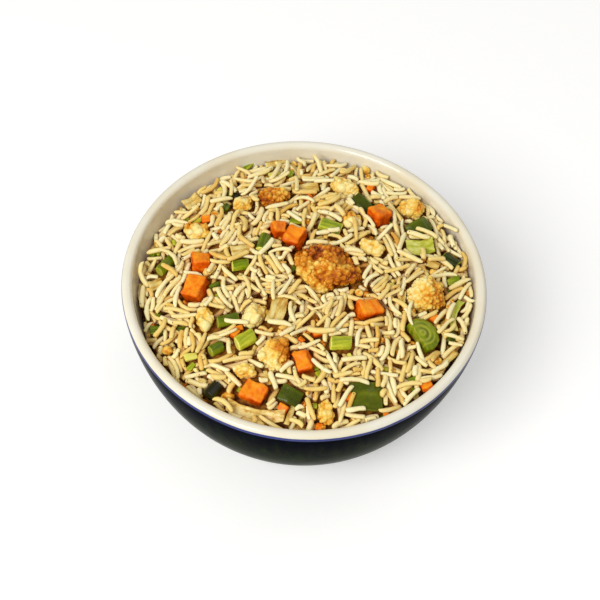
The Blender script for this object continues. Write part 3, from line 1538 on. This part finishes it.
    def make_core(self) -> None:
        """Make the smaller core that backs the loose grains."""
        shape = bmesh.new()
        start = self.CORE_FIRST_RING
        bmesh.ops.create_circle(shape, cap_ends=False, segments=self.CORE_SIDES, radius=start)
        edges = shape.edges[:]
        for ring in range(2, self.CORE_RINGS + 1):
            grown = bmesh.ops.extrude_edge_only(shape, edges=edges)["geom"]
            points = [item for item in grown if isinstance(item, bmesh.types.BMVert)]
            edges = [item for item in grown if isinstance(item, bmesh.types.BMEdge)]
            factor = ring / (ring - 1)
            bmesh.ops.scale(shape, verts=points, vec=(factor, factor, 1))
        first = [edge for edge in shape.edges if edge.is_boundary and edge.verts[0].co.length < 1.05 * start]
        bmesh.ops.contextual_create(shape, geom=first)
        outer = start * self.CORE_RINGS
        for point in shape.verts:
            self.place_core_point(point, math.hypot(point.co.x, point.co.y) / outer)
        base = bmesh.ops.extrude_edge_only(shape, edges=edges)["geom"]
        sunk = [item for item in base if isinstance(item, bmesh.types.BMVert)]
        rim = [item for item in base if isinstance(item, bmesh.types.BMEdge)]
        for point in sunk:
            reach = self.bowl.inner_radius(np.array([self.CORE_BASE]))[0] - self.CORE_GAP
            angle = math.atan2(point.co.y, point.co.x)
            point.co = (reach * math.cos(angle), reach * math.sin(angle), self.CORE_BASE)
        bmesh.ops.contextual_create(shape, geom=rim)
        bmesh.ops.recalc_face_normals(shape, faces=shape.faces)
        piece = link_shape("rice_core", shape)
        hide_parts("rice_heap")
        finish_piece(piece, CoreFinish().build(), "rice")

    def place_core_point(self, point: bmesh.types.BMVert, share: float) -> None:
        """Move a point of the core's top, at a share of the way out, to its place."""
        angle = math.atan2(point.co.y, point.co.x)
        edge = self.bowl.inner_radius(np.array([self.CORE_MEETS_WALL]))[0] - self.CORE_GAP
        x, y = share * edge * math.cos(angle), share * edge * math.sin(angle)
        column, row = self.bed.index(np.array([x]), np.array([y]))
        lumps = noise.noise(Vector((x, y, 0.0)) / 0.0034) + 0.5 * noise.noise(Vector((x, y, 1.0)) / 0.0016)
        fall = 0.0012 * share ** 6
        height = self.bed.target[column[0], row[0]] - self.bed.CORE_DEPTH - fall + 0.0007 * lumps
        point.co = (x, y, height)


# ------------------------------------------------------------------ studio

@dataclass(frozen=True)
class Lamp:
    """A square soft lamp.

    Attributes:
        name: Its name.
        place: Where it stands.
        side: Its side, in metres.
        power: Its power, in watts.
    """

    name: str
    place: tuple[float, float, float]
    side: float
    power: float


@dataclass(frozen=True)
class Studio:
    """The floor, the light and the camera.

    Attributes:
        camera_place: Where the camera stands.
        aim: What it looks at.
        lens: Its focal length, in millimetres.
        roll: How far it is tipped to one side, in degrees.
        floor_side: Side of the floor, in metres.
        floor_lift: How much lighter than it is lit the floor looks to the camera.
        sky: Strength of the sky's light.
        lamps: The lamps.
        lamp_target: What the lamps shine at.
    """

    camera_place: tuple[float, float, float] = (0.0, -0.2633, 0.4329)
    aim: tuple[float, float, float] = (-0.0013, -0.0127, 0.068)
    lens: float = 65.8
    roll: float = 4.3
    floor_side: float = 3.0
    floor_lift: float = 0.3
    sky: float = 0.40
    lamps: tuple[Lamp, ...] = (
        Lamp("key", (-0.42, -0.52, 0.75), 0.5, 7.0),
        Lamp("fill", (0.45, 0.50, 0.7), 0.6, 1.2),
    )
    lamp_target: tuple[float, float, float] = (0.0, 0.0, 0.06)

    def build(self) -> None:
        """Make everything."""
        self.make_floor()
        self.make_world()
        for lamp in self.lamps:
            self.place_lamp(lamp)
        self.make_camera()
        bpy.context.scene.view_settings.view_transform = "Standard"

    def make_floor(self) -> None:
        """Make the pale floor, which looks white to the camera and keeps the bowl's shadow."""
        shape = bmesh.new()
        bmesh.ops.create_grid(shape, x_segments=8, y_segments=8, size=self.floor_side / 2)
        floor = link_shape("floor", shape)
        surface = Surface("floor_paper", roughness=0.9, specular=0.1)
        surface.colour(Tone(236, 235, 232))
        surface.relief(surface.grain(surface.place(), 0.004), 0.00005)
        path = surface.tree.nodes.new("ShaderNodeLightPath")
        lift = surface.tree.nodes.new("ShaderNodeEmission")
        lift.inputs["Strength"].default_value = self.floor_lift
        both = surface.tree.nodes.new("ShaderNodeAddShader")
        pick = surface.tree.nodes.new("ShaderNodeMixShader")
        out = surface.tree.nodes["Material Output"]
        plain = surface.shader.outputs["BSDF"]
        surface.tree.links.new(plain, both.inputs[0])
        surface.tree.links.new(lift.outputs[0], both.inputs[1])
        surface.tree.links.new(path.outputs["Is Camera Ray"], pick.inputs[0])
        surface.tree.links.new(plain, pick.inputs[1])
        surface.tree.links.new(both.outputs[0], pick.inputs[2])
        surface.tree.links.new(pick.outputs[0], out.inputs["Surface"])
        floor.data.materials.append(surface.material)
        floor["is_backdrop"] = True

    def make_world(self) -> None:
        """Make the soft, white sky."""
        world = bpy.data.worlds.new("soft_sky")
        world.use_nodes = True
        tree = world.node_tree
        back = tree.nodes["Background"]
        back.inputs["Color"].default_value = (1.0, 1.0, 1.0, 1.0)
        back.inputs["Strength"].default_value = self.sky
        seen = tree.nodes.new("ShaderNodeBackground")
        seen.inputs["Color"].default_value = (1.0, 1.0, 1.0, 1.0)
        path = tree.nodes.new("ShaderNodeLightPath")
        pick = tree.nodes.new("ShaderNodeMixShader")
        tree.links.new(path.outputs["Is Camera Ray"], pick.inputs[0])
        tree.links.new(back.outputs[0], pick.inputs[1])
        tree.links.new(seen.outputs[0], pick.inputs[2])
        tree.links.new(pick.outputs[0], tree.nodes["World Output"].inputs["Surface"])
        bpy.context.scene.world = world

    def place_lamp(self, lamp: Lamp) -> None:
        """Add a lamp that shines at the bowl."""
        data = bpy.data.lights.new(lamp.name, "AREA")
        data.size = lamp.side
        data.energy = lamp.power
        stand = bpy.data.objects.new(lamp.name, data)
        stand.location = lamp.place
        ray = Vector(self.lamp_target) - Vector(lamp.place)
        stand.rotation_euler = ray.to_track_quat("-Z", "Y").to_euler()
        bpy.context.scene.collection.objects.link(stand)

    def make_camera(self) -> None:
        """Add the camera and make it the scene's."""
        data = bpy.data.cameras.new("camera")
        data.lens = self.lens
        data.sensor_width = 36.0
        camera = bpy.data.objects.new("camera", data)
        place, aim = Vector(self.camera_place), Vector(self.aim)
        level = (aim - place).to_track_quat("-Z", "Y")
        tip = Matrix.Rotation(math.radians(self.roll), 3, "Z").to_quaternion()
        camera.location = place
        camera.rotation_euler = (level @ tip).to_euler()
        bpy.context.scene.collection.objects.link(camera)
        bpy.context.scene.camera = camera


def write_sizes() -> None:
    """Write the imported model's box and the finished model's box."""
    boxes = {"cad": CAD_BOX, "visual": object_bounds()}
    {name: [list(corner) for corner in box] for name, box in boxes.items()}


def main() -> None:
    """Build the bowl, the toppings, the rice and the studio, in that order."""
    logging.basicConfig(level=logging.INFO, format="%(name)s: %(message)s")
    bowl = BowlShape()
    bowl.build()
    toppings = Toppings()
    toppings.build()
    RiceHeap(bowl, toppings).build()
    Studio().build()
    write_sizes()


if __name__ == "__main__":
    main()
